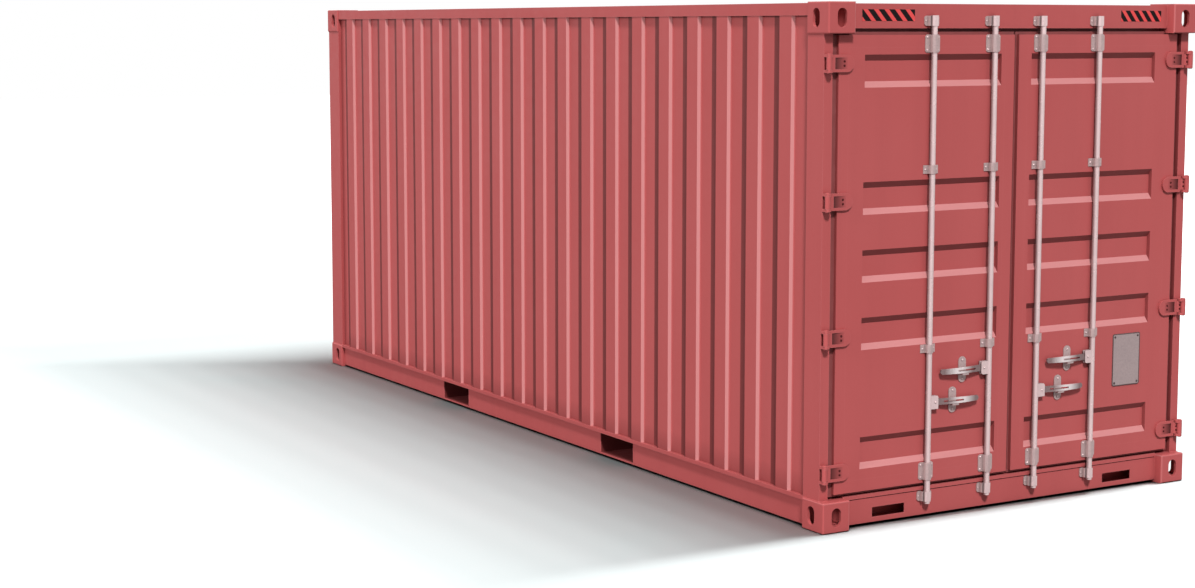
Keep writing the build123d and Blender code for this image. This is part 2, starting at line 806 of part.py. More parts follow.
# Hinge blades: straps that lie on the door, pass in front of the post and end in a knuckle round the pin
blade_front_x = door_face_x + blade_stand
blade_back_x = blade_front_x - blade_thickness
blade_end_y = door_edge_y - blade_reach
blade_wide_end_y = ear_inner_y - blade_ear_gap
with BuildPart() as hinge_blades:
    for hinge_z in hinge_heights:
        with BuildSketch(Plane.XY.offset(hinge_z)):
            with BuildLine():
                Polyline(
                    (blade_back_x, blade_wide_end_y),
                    (blade_front_x, blade_wide_end_y),
                    (hinge_x - neck_front_inset, hinge_y - neck_front_drop),
                    (hinge_x - neck_back_inset, hinge_y + neck_back_rise),
                    (blade_back_x, hinge_y - neck_back_drop),
                    close=True,
                )
            make_face()
            with Locations((hinge_x, hinge_y)):
                Circle(knuckle_radius)
                Circle(pin_radius + pin_clearance, mode=Mode.SUBTRACT)
        extrude(amount=knuckle_height / 2, both=True)
        with BuildSketch(Plane.XY.offset(hinge_z)):
            with BuildLine():
                Polyline(
                    (door_face_x, blade_end_y),
                    (blade_front_x, blade_end_y),
                    (blade_front_x, blade_wide_end_y),
                    (blade_back_x, blade_wide_end_y),
                    (blade_back_x, door_edge_y + blade_shoulder),
                    (door_face_x, door_edge_y),
                    close=True,
                )
            make_face()
        extrude(amount=blade_height / 2, both=True)
    corner_edges = hinge_blades.edges().filter_by(Axis.X).group_by(Axis.Y)[0]
    fillet(corner_edges, radius=blade_end_radius)
    for hinge_z in hinge_heights:
        with BuildSketch(Plane.XY.offset(hinge_z)) as pocket:
            with BuildLine():
                Polyline(
                    (blade_front_x, door_edge_y + blade_pocket_start),
                    (blade_front_x - blade_pocket_depth, door_edge_y + blade_pocket_start),
                    (blade_front_x, door_edge_y - blade_pocket_end),
                    close=True,
                )
            make_face()
        extrude(pocket.sketch, amount=blade_pocket_height / 2, both=True, mode=Mode.SUBTRACT)
save_pair(hinge_blades, "right_hinge_blades", "left_hinge_blades")


def add_saddles(rod_y, places_z, saddle_height):
    """Brackets over one rod: two feet on the door and a bevelled arch round the rod."""
    bore_radius = rod_radius + rod_clearance
    arch_half = bore_radius + bracket_wall
    for saddle_z in places_z:
        with BuildSketch(Plane.XY.offset(saddle_z - saddle_height / 2)) as saddle:
            with Locations((door_face_x + bracket_foot / 2, rod_y)):
                Rectangle(bracket_foot, bracket_width)
            with BuildLine():
                Polyline(
                    (door_face_x, rod_y - arch_half),
                    (rod_x + arch_half - arch_bevel, rod_y - arch_half),
                    (rod_x + arch_half, rod_y - arch_half + arch_bevel),
                    (rod_x + arch_half, rod_y + arch_half - arch_bevel),
                    (rod_x + arch_half - arch_bevel, rod_y + arch_half),
                    (door_face_x, rod_y + arch_half),
                    close=True,
                )
            make_face()
            with Locations((rod_x, rod_y)):
                Circle(bore_radius, mode=Mode.SUBTRACT)
            with Locations(((door_face_x + rod_x) / 2, rod_y)):
                Rectangle(rod_x - door_face_x, 2 * bore_radius, mode=Mode.SUBTRACT)
        extrude(saddle.sketch, amount=saddle_height)


# Rod brackets: a tall one near each end of a rod and two short ones between
big_bracket_places_z = [door_bottom + big_bracket_from_bottom, door_top - big_bracket_from_top]
small_bracket_places_z = [door_bottom + small_bracket_from_bottom, door_top - small_bracket_from_top]
for node, rods in (("left_rod_brackets", left_rods), ("right_rod_brackets", right_rods)):
    with BuildPart() as rod_brackets:
        for rod_y in rods:
            add_saddles(rod_y, big_bracket_places_z, big_bracket_height)
        chamfer(foot_corners(rod_brackets, bracket_foot), bracket_chamfer)
        for rod_y in rods:
            add_saddles(rod_y, small_bracket_places_z, small_bracket_height)
    save(rod_brackets, node)


def handle_place(rod_y):
    """Height of a rod's handle and the way that it points along Y."""
    if rod_y in (-outer_rod_y, inner_rod_y):
        return door_bottom + handle_low_rise, 1
    return door_bottom + handle_high_rise, -1


# Handle catches: a round ended plate and the shelf that the handle drops onto
for node, rods in (("left_handle_catches", left_rods), ("right_handle_catches", right_rods)):
    with BuildPart() as handle_catches:
        for rod_y in rods:
            handle_z, way = handle_place(rod_y)
            catch_y = rod_y + way * catch_offset
            with BuildSketch(Plane.YZ.offset(door_face_x)):
                with Locations((catch_y, handle_z)):
                    SlotOverall(catch_height, catch_width, rotation=90)
            extrude(amount=catch_thickness)
            shelf_top = handle_z - handle_root_height / 2
            add_box(
                (door_face_x, catch_y - catch_shelf_width / 2, shelf_top - catch_shelf_thickness),
                (door_face_x + catch_shelf_reach, catch_y + catch_shelf_width / 2, shelf_top),
            )
    save(handle_catches, node)

# Data plate: a bare plate on the right door
with BuildPart() as data_plate:
    with BuildSketch(Plane.YZ.offset(door_face_x)):
        with Locations((door_edge_y - plate_from_edge, door_bottom + plate_rise)):
            RectangleRounded(plate_width, plate_height, plate_corner)
    extrude(amount=plate_thickness)
save(data_plate, "data_plate")

# Lock rods: a pipe with a cam at each end and a hub that carries the handle
hub_back_x = rod_x - hub_gap / 2 - hub_plate_thickness
hub_front_x = rod_x + hub_gap / 2
for number, rod_y in enumerate(rod_places_y):
    handle_z, way = handle_place(rod_y)
    pivot_y = rod_y + way * pivot_offset
    with BuildPart() as lock_rod:
        with BuildSketch(Plane.XY.offset(rod_bottom)):
            with Locations((rod_x, rod_y)):
                Circle(rod_radius)
        extrude(amount=rod_top - rod_bottom)
        for cam_z in keeper_places_z:
            with BuildSketch(Plane.XY.offset(cam_z - cam_height / 2)) as cam:
                with Locations((rod_x, rod_y)):
                    Rectangle(cam_width, cam_length)
                chamfer(cam.vertices(), cam_chamfer)
            extrude(amount=cam_height)
        for plate_x in (hub_back_x, hub_front_x):
            with BuildSketch(Plane.YZ.offset(plate_x)) as hub_plate:
                with Locations((rod_y + way * hub_plate_reach / 2, handle_z)):
                    Rectangle(hub_plate_reach, hub_plate_height)
                far_corners = hub_plate.vertices().sort_by(Axis.Y, reverse=way < 0)[-2:]
                fillet(far_corners, radius=hub_plate_corner)
            extrude(amount=hub_plate_thickness)
        with BuildSketch(Plane.YZ.offset(hub_back_x)):
            with Locations((pivot_y, handle_z)):
                Circle(pivot_pin_radius)
        extrude(amount=hub_gap + 2 * hub_plate_thickness)
        with BuildSketch(Plane.XY.offset(rod_bottom)):
            with Locations((rod_x, rod_y)):
                Circle(rod_radius - rod_wall)
        extrude(amount=rod_top - rod_bottom, mode=Mode.SUBTRACT)
    save(lock_rod, f"lock_rod_{number + 1}")

# Handles: tapered levers with a bow, which turn on the hub pin
for number, rod_y in enumerate(rod_places_y):
    handle_z, way = handle_place(rod_y)
    pivot_y = rod_y + way * pivot_offset
    tip_y = rod_y + way * handle_length
    root_y = pivot_y - way * handle_root_height / 2
    straight_y = pivot_y + way * handle_straight
    bow_y = rod_y + way * handle_bow_place
    back_x = rod_x - handle_thickness / 2
    front_x = rod_x + handle_thickness / 2
    with BuildPart() as handle:
        with BuildSketch(Plane.XY.offset(handle_z - handle_root_height / 2)):
            with BuildLine():
                Polyline((back_x, straight_y), (back_x, root_y), (front_x, root_y), (front_x, straight_y))
                ThreePointArc(
                    (front_x, straight_y), (front_x + handle_bow, bow_y), (front_x + handle_tip_stand, tip_y)
                )
                Line((front_x + handle_tip_stand, tip_y), (back_x + handle_tip_stand, tip_y))
                ThreePointArc(
                    (back_x + handle_tip_stand, tip_y), (back_x + handle_bow, bow_y), (back_x, straight_y)
                )
            make_face()
        extrude(amount=handle_root_height)
        with BuildSketch(Plane.YZ.offset(back_x)):
            with BuildLine():
                Polyline(
                    (pivot_y, handle_z - handle_root_height / 2),
                    (tip_y - way * handle_tip_bevel, handle_z - handle_tip_height / 2),
                    (tip_y, handle_z - handle_tip_height / 2 + handle_tip_bevel),
                    (tip_y, handle_z + handle_tip_height / 2 - handle_tip_bevel),
                    (tip_y - way * handle_tip_bevel, handle_z + handle_tip_height / 2),
                    (pivot_y, handle_z + handle_root_height / 2),
                    close=True,
                )
            make_face()
            with Locations((pivot_y, handle_z)):
                Circle(handle_root_height / 2)
            with Locations((rod_y + way * handle_slot_place, handle_z)):
                Rectangle(handle_slot_length, handle_slot_height, mode=Mode.SUBTRACT)
            with Locations((pivot_y, handle_z)):
                Circle(pivot_pin_radius + pin_clearance, mode=Mode.SUBTRACT)
        extrude(amount=2 * handle_thickness + handle_bow, mode=Mode.INTERSECT)
    save(handle, f"handle_{number + 1}")
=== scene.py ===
import json
import math

import bmesh
import bpy
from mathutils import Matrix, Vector


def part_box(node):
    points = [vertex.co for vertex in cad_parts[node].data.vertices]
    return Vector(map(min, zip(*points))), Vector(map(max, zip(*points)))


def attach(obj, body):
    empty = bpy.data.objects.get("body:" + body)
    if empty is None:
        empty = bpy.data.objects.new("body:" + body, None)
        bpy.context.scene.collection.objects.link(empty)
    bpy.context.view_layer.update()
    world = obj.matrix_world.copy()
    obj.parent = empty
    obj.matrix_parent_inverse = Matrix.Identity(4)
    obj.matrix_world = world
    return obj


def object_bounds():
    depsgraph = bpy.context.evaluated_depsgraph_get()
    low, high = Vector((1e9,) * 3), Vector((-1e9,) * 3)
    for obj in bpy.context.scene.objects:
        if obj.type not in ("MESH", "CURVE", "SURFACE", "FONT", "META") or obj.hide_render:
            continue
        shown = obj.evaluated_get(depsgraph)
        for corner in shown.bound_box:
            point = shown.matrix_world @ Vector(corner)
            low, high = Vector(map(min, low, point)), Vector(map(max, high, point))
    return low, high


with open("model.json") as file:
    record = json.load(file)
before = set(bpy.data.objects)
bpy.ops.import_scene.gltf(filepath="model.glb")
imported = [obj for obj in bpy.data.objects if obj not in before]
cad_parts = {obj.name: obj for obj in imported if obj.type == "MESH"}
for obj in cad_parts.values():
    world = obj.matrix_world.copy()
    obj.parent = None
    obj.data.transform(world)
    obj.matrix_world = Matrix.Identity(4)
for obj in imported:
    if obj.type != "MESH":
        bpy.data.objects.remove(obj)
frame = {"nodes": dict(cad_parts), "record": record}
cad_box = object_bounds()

# Colours as they look on screen, from 0 to 1
PAINT = (0.728, 0.340, 0.340)
PAINT_LIGHT = (0.86, 0.56, 0.56)
PAINT_DARK = (0.60, 0.27, 0.27)
# Painted light: shade in gaps and corners, a highlight on faces towards the light, shade, shade in hollows,
# shade in pockets, and shade on bolts and under the sill's lip
PAINT_CAVITY = (0.42, 0.19, 0.19)
PAINT_HIGHLIGHT = (0.80, 0.53, 0.53)
PAINT_SHADE = (0.44, 0.19, 0.19)
HOLLOW_SHADE = (0.28, 0.12, 0.12)
POCKET_SHADE = (0.46, 0.21, 0.21)
SHADE_RED = (0.34, 0.12, 0.13)
METAL_GREY = (0.78, 0.68, 0.675)
METAL_DARK = (0.36, 0.31, 0.31)
# Painted shade on metal: in the zinc's corners and on the rods' sides and back
METAL_CAVITY = (0.38, 0.31, 0.31)
ROD_PALE = (0.93, 0.82, 0.82)
# Handles: a painted highlight, the duller rest, and painted shade in the slot
HANDLE_HIGHLIGHT = (0.96, 0.91, 0.91)
HANDLE_DULL = (0.56, 0.47, 0.47)
SLOT_SHADE = (0.20, 0.16, 0.16)
PLATE_GREY = (0.72, 0.64, 0.64)
RUBBER = (0.52, 0.25, 0.25)
RUBBER_DUST = (0.58, 0.31, 0.31)
STRIPE_RED = (0.91, 0.33, 0.33)
STRIPE_BLACK = (0.09, 0.065, 0.07)
PLYWOOD = (0.66, 0.49, 0.33)
PLYWOOD_DARK = (0.48, 0.33, 0.21)
PLYWOOD_JOINT = (0.16, 0.11, 0.08)
SCREW_GREY = (0.55, 0.53, 0.51)
FLOOR_PALE = (0.915, 0.955, 0.955)
FLOOR_NEAR = (0.865, 0.955, 0.955)
# Painted contact shadow on the floor under the container
FLOOR_CONTACT_SHADOW = (0.10, 0.10, 0.10)
FLOOR_BOUNCE = (0.55, 0.55, 0.55)

# Camera at the photo's viewing angle, in metres and degrees
CAMERA_PLACE = Vector((11.010, -7.175, 2.466))
CAMERA_AZIMUTH = 59.618
CAMERA_DOWN = 6.034
CAMERA_LENS = 62.289
CAMERA_SHIFT = -0.04
CAMERA_REACH = 200.0
SENSOR_WIDTH = 36.0

# Paint: gloss, shares of each kind of wear, and how far the painted shade in corners and the pale edges,
# partly worn paint and partly painted highlight, reach, in metres
PAINT_GLOSS = 0.25
MARK_GLOSS = 0.12
PATCH_SHARE = 0.05
STREAK_SHARE = 0.10
SPECKLE_SHARE = 0.05
PAINT_CORNER = 0.045
PAINT_EDGE = 0.004

# Long sides: ridges, the painted shade and painted highlight beside their webs, and the painted shade at
# the ends and the foot, in metres
WALL_PITCH = 0.280
RIDGE_HALF = 0.052
WALL_SHADE_REACH = 0.114
WALL_SHADE_SOFT = 0.006
WALL_HIGHLIGHT_WIDTH = 0.010
WALL_HIGHLIGHT_SOFT = 0.002
WALL_END_SHADE = 0.055
WALL_FOOT_SHADE = 0.110
WALL_MARK_SHARE = 0.90

# Castings' painted highlight along their edges, and the painted shade in hinge blades' hollows, in metres
CASTING_HIGHLIGHT = 0.006
CASTING_HIGHLIGHT_SOFT = 0.001
CASTING_HIGHLIGHT_SHARE = 0.7
BLADE_FRONT = 0.012
BLADE_HOLLOW_START = 0.0002
BLADE_HOLLOW_DEPTH = 0.005
BLADE_HOLLOW_END = 0.114

# Metal: crystals a metre in the zinc, how far its painted shade in corners and its pale edges, partly wear
# and partly painted highlight, reach, and metallic shares
SPANGLE_SCALE = 120.0
ZINC_CORNER = 0.020
ZINC_EDGE = 0.0015
ZINC_METALLIC = 0.25
PLATE_METALLIC = 0.30
# Share of the painted shade on the rods' sides and back
ROD_SHADE_SHARE = 0.60
# The painted highlight along each handle: where it lies, and where its fade begins and ends, as shares of
# the length
HANDLE_HIGHLIGHT_PLACE = 0.38
HANDLE_HIGHLIGHT_NEAR = 0.06
HANDLE_HIGHLIGHT_FAR = 0.30

# Plywood sheets along the floor: their length in metres, and the joint's share of it
PLYWOOD_SHEET = 1.2
PLYWOOD_JOINT_SHARE = 0.0025

# Fasteners and weld beads, in metres
RIVET_RADIUS = 0.0065
RIVET_HEIGHT = 0.004
SMALL_RIVET_SHARE = 0.8
BOLT_RADIUS = 0.0055
BOLT_HEIGHT = 0.0035
PIN_HEAD_RADIUS = 0.011
PIN_HEAD_HEIGHT = 0.004
SCREW_RADIUS = 0.006
SCREW_HEIGHT = 0.0006
BEAD_RADIUS = 0.004
BEAD_STEP = 0.006
BEAD_SIDES = 6
SINK = 0.0008

# Where fasteners sit on the pieces that carry them, in metres
FOOT_INSET = 0.012
BRACKET_FOOT = 0.004
TALL_BRACKET = 0.06
CATCH_PLATE = 0.005
CATCH_RIVET_INSET = 0.018
KEEPER_FOOT = 0.006
KEEPER_INSET = 0.0075
HUB_FRONT = 0.010
HANDLE_ROOT = 0.017
BLADE_BOLT_REACH = 0.058
BLADE_BOLT_DROP = 0.0015
NECK_BOLT_REACH = 0.146
NECK_BOLT_STAND = 0.0172
HINGE_BOLT_RISE = 0.0105
PIN_INSET_X = 0.014
PIN_INSET_Y = 0.011
PLATE_INSET = 0.016
FLOOR_SCREWS = 11
FLOOR_SCREW_MARGIN = 0.06
POST_FACE_WIDTH = 0.052

# Raised rim of the plate, in metres
RIM_WIDTH = 0.004
RIM_RISE = 0.0012
RIM_CORNER = 0.010
RIM_CORNER_STEPS = 5

# Hazard patches on the header, in metres: distance from its end and length of each, rise and height
STRIPE_LEFT_START = 0.078
STRIPE_LEFT_LENGTH = 0.324
STRIPE_RIGHT_START = 0.044
STRIPE_RIGHT_LENGTH = 0.289
STRIPE_RISE = 0.035
STRIPE_HEIGHT = 0.057
STRIPE_THICKNESS = 0.0006

# The patches' bars: how many, and their width, lean and start as shares of their pitch
STRIPE_BARS = 6
STRIPE_PITCHES = 5
STRIPE_WIDTH_SHARE = 0.43
STRIPE_LEAN_SHARE = 0.80
STRIPE_START_SHARE = -0.13

# Height of the painted shadow under the sill's lip, in metres
LIP_SHADOW_HEIGHT = 0.005

# Floor, in metres: half its length, its drop under the object, the reach of its painted contact shadow, and
# reaches past the container's box
FLOOR_HALF = 60.0
FLOOR_DROP = 0.001
CONTACT_REACH = 0.09
NEAR_REACH = 1.2
GLOW_START = 1.7
GLOW_FULL = 8.0

# Light of the world on the object, where the camera sees 1
WORLD_LIGHT = 0.28

# The floor's shadow fades away from the container: lamps over one place behind it, each lower than the last
SHADOW_LAMPS = 7
SHADOW_LAMP_X = 2.58
SHADOW_LAMP_Y = 9.56
SHADOW_FIRST_REACH = 0.20
SHADOW_STRIDE = 0.22
SHADOW_SPREAD = 0.0022
SHADOW_SOFTNESS = 0.04
SHADOW_LIGHT = 0.43

FORWARD = Vector((1.0, 0.0, 0.0))
UPWARD = Vector((0.0, 0.0, 1.0))


def linear(colour):
    """A colour as it looks on screen, turned into the linear values that a shader takes."""
    values = [c / 12.92 if c <= 0.04045 else ((c + 0.055) / 1.055) ** 2.4 for c in colour]
    return (*values, 1.0)


class Shader:
    """One material, with short calls for adding nodes and joining them."""

    def __init__(self, name):
        self.material = bpy.data.materials.new(name)
        self.material.use_nodes = True
        self.tree = self.material.node_tree
        self.surface = self.tree.nodes["Principled BSDF"]

    def add(self, kind, settings=None, **inputs):
        made = self.tree.nodes.new(kind)
        for key, value in (settings or {}).items():
            setattr(made, key, value)
        for key, value in inputs.items():
            self.feed(made.inputs[key.replace("_", " ")], value)
        return made

    def feed(self, socket, value):
        if isinstance(value, bpy.types.NodeSocket):
            self.tree.links.new(value, socket)
        else:
            socket.default_value = value

    def place(self):
        """Coordinates that stay with the piece when its body moves."""
        return self.add("ShaderNodeTexCoord").outputs["Object"]

    def noise(self, scale, detail=3.0, roughness=0.5, where=None):
        vector = where if where is not None else self.place()
        look = {"Scale": scale, "Detail": detail, "Roughness": roughness}
        return self.add("ShaderNodeTexNoise", Vector=vector, **look).outputs["Fac"]

    def stretched(self, x, y, z):
        """Object coordinates scaled by a factor along each axis."""
        made = self.add("ShaderNodeMapping", Vector=self.place(), Scale=(x, y, z))
        return made.outputs["Vector"]

    def band(self, value, low, high, out_low=0.0, out_high=1.0):
        made = self.add("ShaderNodeMapRange", {"clamp": True}, Value=value)
        self.feed(made.inputs["From Min"], low)
        self.feed(made.inputs["From Max"], high)
        self.feed(made.inputs["To Min"], out_low)
        self.feed(made.inputs["To Max"], out_high)
        return made.outputs["Result"]

    def math(self, operation, first, second=0.0):
        made = self.add("ShaderNodeMath", {"operation": operation})
        self.feed(made.inputs[0], first)
        self.feed(made.inputs[1], second)
        return made.outputs["Value"]

    def mix(self, factor, first, second):
        made = self.add("ShaderNodeMix", {"data_type": "RGBA"}, Factor=factor)
        for socket in made.inputs:
            if socket.type == "RGBA":
                self.feed(socket, first if socket.name == "A" else second)
        return [socket for socket in made.outputs if socket.type == "RGBA"][0]

    def edges(self, radius, low, high):
        """1 on sharp edges and 0 on flat faces."""
        rounded = self.add("ShaderNodeBevel", {"samples": 4}, Radius=radius).outputs["Normal"]
        flat = self.add("ShaderNodeNewGeometry").outputs["Normal"]
        match = self.add("ShaderNodeVectorMath", {"operation": "DOT_PRODUCT"})
        self.feed(match.inputs[0], rounded)
        self.feed(match.inputs[1], flat)
        return self.band(match.outputs["Value"], 1.0 - low, 1.0 - high)

    def cavity(self, reach, low, high):
        """1 deep in gaps and corners, where shade falls, and 0 on open faces: the mask for painted shade.
        """
        open_sky = self.add("ShaderNodeAmbientOcclusion", {"samples": 6}, Distance=reach).outputs["AO"]
        return self.band(open_sky, low, high, 1.0, 0.0)

    def window(self, value, low, high, soft):
        """1 between two values and 0 outside them, with soft ends."""
        rises = self.band(value, low - soft, low)
        falls = self.band(value, high, high + soft, 1.0, 0.0)
        return self.math("MULTIPLY", rises, falls)

    def along(self, output, axis):
        """One component of the piece's own coordinates: Object, Generated or Normal."""
        vector = self.add("ShaderNodeTexCoord").outputs[output]
        return self.add("ShaderNodeSeparateXYZ", Vector=vector).outputs[axis]

    def bump(self, height, strength, distance):
        made = self.add("ShaderNodeBump", Height=height, Strength=strength, Distance=distance)
        return made.outputs["Normal"]

    def finish(self, colour, roughness, normal=None, metallic=0.0):
        self.feed(self.surface.inputs["Base Color"], colour)
        self.feed(self.surface.inputs["Roughness"], roughness)
        self.feed(self.surface.inputs["Metallic"], metallic)
        if normal is not None:
            self.feed(self.surface.inputs["Normal"], normal)
        return self.material


def paint_layers(s, cavity, wear):
    """Faded paint over steel: slight patches, faint vertical streaks, pale edges that are partly worn paint
    and partly painted highlight, and painted shade in corners.
    """
    patches = s.band(s.noise(1.1, detail=4.0), 0.35, 0.70)
    streaks = s.band(s.noise(1.0, detail=3.0, where=s.stretched(9.0, 9.0, 0.5)), 0.45, 0.75)
    speckle = s.band(s.noise(60.0, detail=2.0), 0.55, 0.75)
    base = s.mix(s.math("MULTIPLY", patches, PATCH_SHARE), linear(PAINT), linear(PAINT_LIGHT))
    base = s.mix(s.math("MULTIPLY", streaks, STREAK_SHARE), base, linear(PAINT_DARK))
    base = s.mix(s.math("MULTIPLY", speckle, SPECKLE_SHARE), base, linear(PAINT_DARK))
    # Painted shade: darker deep in gaps and corners, where shade falls
    painted_shade = s.math("MULTIPLY", s.cavity(PAINT_CORNER, 0.25, 0.80), cavity)
    base = s.mix(painted_shade, base, linear(PAINT_CAVITY))
    # Pale edges: partly worn paint, partly a painted highlight along each edge
    pale_edges = s.math("MULTIPLY", s.edges(PAINT_EDGE, 0.02, 0.25), wear)
    return s.mix(pale_edges, base, linear(PAINT_LIGHT))


def painted(s, base):
    """The satin surface that all the paint shares."""
    s.feed(s.surface.inputs["Specular IOR Level"], PAINT_GLOSS)
    rough = s.band(s.noise(14.0), 0.3, 0.7, 0.40, 0.52)
    return s.finish(base, rough, s.bump(s.noise(420.0, detail=2.0), 0.10, 0.0006))


def paint_material(name, cavity, wear):
    """Paint with a share of painted shade in its corners and of pale edges, partly wear and partly painted
    highlight.
    """
    s = Shader(name)
    return painted(s, paint_layers(s, cavity, wear))


def wall_material():
    """Long side: a painted highlight on the side of each ridge that faces the doors, painted shade on the
    other, and painted shade towards the ends and the foot.
    """
    s = Shader("side_wall_paint")
    base = paint_layers(s, 0.60, 0.25)
    turns = s.math("FRACT", s.math("DIVIDE", s.along("Object", "X"), WALL_PITCH))
    past = s.math("SUBTRACT", s.math("MULTIPLY", turns, WALL_PITCH), WALL_PITCH / 2)
    # Painted shade over the web that faces away from the doors and the inner flat beside it, and a painted
    # highlight on the web that faces them
    shade = s.window(past, -WALL_SHADE_REACH, -RIDGE_HALF, WALL_SHADE_SOFT)
    web_highlight = s.window(past, RIDGE_HALF, RIDGE_HALF + WALL_HIGHLIGHT_WIDTH, WALL_HIGHLIGHT_SOFT)
    low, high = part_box("side_wall_right")
    from_middle = s.math("ABSOLUTE", s.along("Object", "X"))
    # Painted shade towards the ends of the wall and along its foot
    end = s.band(from_middle, high.x - WALL_END_SHADE, high.x, 0.0, 0.7)
    foot = s.band(s.along("Object", "Z"), low.z, low.z + WALL_FOOT_SHADE, 0.45, 0.0)
    base = s.mix(s.math("MAXIMUM", end, foot), base, linear(PAINT_SHADE))
    base = s.mix(s.math("MULTIPLY", shade, WALL_MARK_SHARE), base, linear(PAINT_SHADE))
    return painted(s, s.mix(s.math("MULTIPLY", web_highlight, WALL_MARK_SHARE), base, linear(PAINT_HIGHLIGHT)))


def casting_material():
    """Corner castings, with a painted highlight along their inner edges and the lower ones' top edges."""
    s = Shader("casting_paint")
    base = paint_layers(s, 0.20, 0.15)
    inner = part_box("door_header")[1].y
    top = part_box("door_post_right")[0].z
    across = s.math("ABSOLUTE", s.along("Object", "Y"))
    # Painted highlight along the inner edge of the end faces and along the lower castings' top rim
    side = s.window(across, inner - CASTING_HIGHLIGHT, inner + CASTING_HIGHLIGHT, CASTING_HIGHLIGHT_SOFT)
    endways = s.band(s.math("ABSOLUTE", s.along("Normal", "X")), 0.60, 0.95)
    rim = s.window(s.along("Object", "Z"), top - CASTING_HIGHLIGHT, top + CASTING_HIGHLIGHT, CASTING_HIGHLIGHT_SOFT)
    upright = s.band(s.math("ABSOLUTE", s.along("Normal", "Z")), 0.10, 0.80, 1.0, 0.0)
    pale_edges = s.math("MAXIMUM", s.math("MULTIPLY", side, endways), s.math("MULTIPLY", rim, upright))
    return painted(s, s.mix(s.math("MULTIPLY", pale_edges, CASTING_HIGHLIGHT_SHARE), base, linear(PAINT_HIGHLIGHT)))


def panel_material():
    """Door panels: a painted highlight on the upward ledge under each pressed recess, painted shade on the
    faces over it and at its ends.
    """
    s = Shader("door_panel_paint")
    base = paint_layers(s, 0.50, 0.10)
    upward = s.along("Normal", "Z")
    sideways = s.math("ABSOLUTE", s.along("Normal", "Y"))
    # Painted shade on the recesses' end slopes and on faces turned down, and a painted highlight on faces
    # turned up
    base = s.mix(s.band(sideways, 0.40, 0.60, 0.0, 0.60), base, linear(PAINT_SHADE))
    base = s.mix(s.band(upward, -0.45, -0.25, 0.80, 0.0), base, linear(PAINT_SHADE))
    return painted(s, s.mix(s.band(upward, 0.25, 0.45, 0.0, 0.90), base, linear(PAINT_HIGHLIGHT)))


def blade_material():
    """Hinge blades: painted shade in the sloping hollow behind each gap, darker the deeper it gets."""
    s = Shader("hinge_blade_paint")
    base = paint_layers(s, 0.70, 0.30)
    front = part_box("left_hinge_blades")[0].x + BLADE_FRONT
    # Painted shade, darker the deeper a face lies in the hollow
    depth = s.math("SUBTRACT", front, s.along("Object", "X"))
    hollow = s.band(depth, BLADE_HOLLOW_START, BLADE_HOLLOW_DEPTH, 0.10, 1.0)
    hollow = s.math("MULTIPLY", hollow, s.math("GREATER_THAN", depth, BLADE_HOLLOW_START))
    faces_out = s.band(s.along("Normal", "X"), 0.95, 0.97)
    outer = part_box("right_hinge_blades")[0].y + BLADE_HOLLOW_END
    inside = s.band(s.math("ABSOLUTE", s.along("Object", "Y")), outer, outer + 0.001, 1.0, 0.0)
    share = s.math("MULTIPLY", s.math("MULTIPLY", hollow, faces_out), inside)
    return painted(s, s.mix(share, base, linear(HOLLOW_SHADE)))


def rubber_material():
    """Door seals under red dust."""
    s = Shader("seal_rubber")
    dust = s.band(s.noise(22.0, detail=4.0), 0.4, 0.75)
    base = s.mix(s.math("MULTIPLY", dust, 0.5), linear(RUBBER), linear(RUBBER_DUST))
    return s.finish(base, s.band(dust, 0.0, 1.0, 0.62, 0.80), s.bump(s.noise(260.0), 0.12, 0.0005))


def spangle(s):
    """A value of its own for each crystal of the zinc."""
    cells = s.add("ShaderNodeTexVoronoi", Vector=s.place(), Scale=SPANGLE_SCALE).outputs["Color"]
    return s.add("ShaderNodeSeparateColor", Color=cells).outputs["Red"]


def zinc_layers(s, colour, spangle_share=0.30):
    """Dull zinc with soft spangle, pale edges that are partly wear and partly painted highlight, and
    painted shade in corners.
    """
    dark = tuple(c * 0.82 for c in colour)
    light = tuple(min(1.0, c * 1.18) for c in colour)
    base = s.mix(s.math("MULTIPLY", spangle(s), spangle_share), linear(colour), linear(dark))
    clouds = s.band(s.noise(7.0, detail=4.0), 0.40, 0.70)
    base = s.mix(s.math("MULTIPLY", clouds, 0.20), base, linear(dark))
    # Painted shade deep in the zinc's gaps and corners
    painted_shade = s.math("MULTIPLY", s.cavity(ZINC_CORNER, 0.30, 0.75), 0.6)
    base = s.mix(painted_shade, base, linear(METAL_CAVITY))
    # Pale edges: partly wear, partly a painted highlight along each edge
    pale_edges = s.math("MULTIPLY", s.edges(ZINC_EDGE, 0.02, 0.25), 0.5)
    return s.mix(pale_edges, base, linear(light))


def zinc_material(name, colour, rough_low, rough_high, metallic):
    """Galvanised steel, each crystal with a roughness of its own."""
    s = Shader(name)
    rough = s.band(spangle(s), 0.0, 1.0, rough_low, rough_high)
    base = zinc_layers(s, colour)
    return s.finish(base, rough, s.bump(s.noise(300.0), 0.06, 0.0004), metallic)


def smooth_metal(s, base):
    """The smoother surface of rods and handles."""
    rough = s.band(s.noise(9.0), 0.3, 0.7, 0.22, 0.30)
    return s.finish(base, rough, s.bump(s.noise(180.0), 0.03, 0.0003), ZINC_METALLIC)


def rod_material():
    """Lock rods: smooth pale zinc in front, with painted shade on their sides and back."""
    s = Shader("zinc_rods")
    # Painted shade, growing as the faces turn away from +X
    painted_shade = s.band(s.along("Normal", "X"), 0.25, 0.80, ROD_SHADE_SHARE, 0.0)
    base = s.mix(painted_shade, zinc_layers(s, ROD_PALE, 0.05), linear(METAL_CAVITY))
    return smooth_metal(s, base)


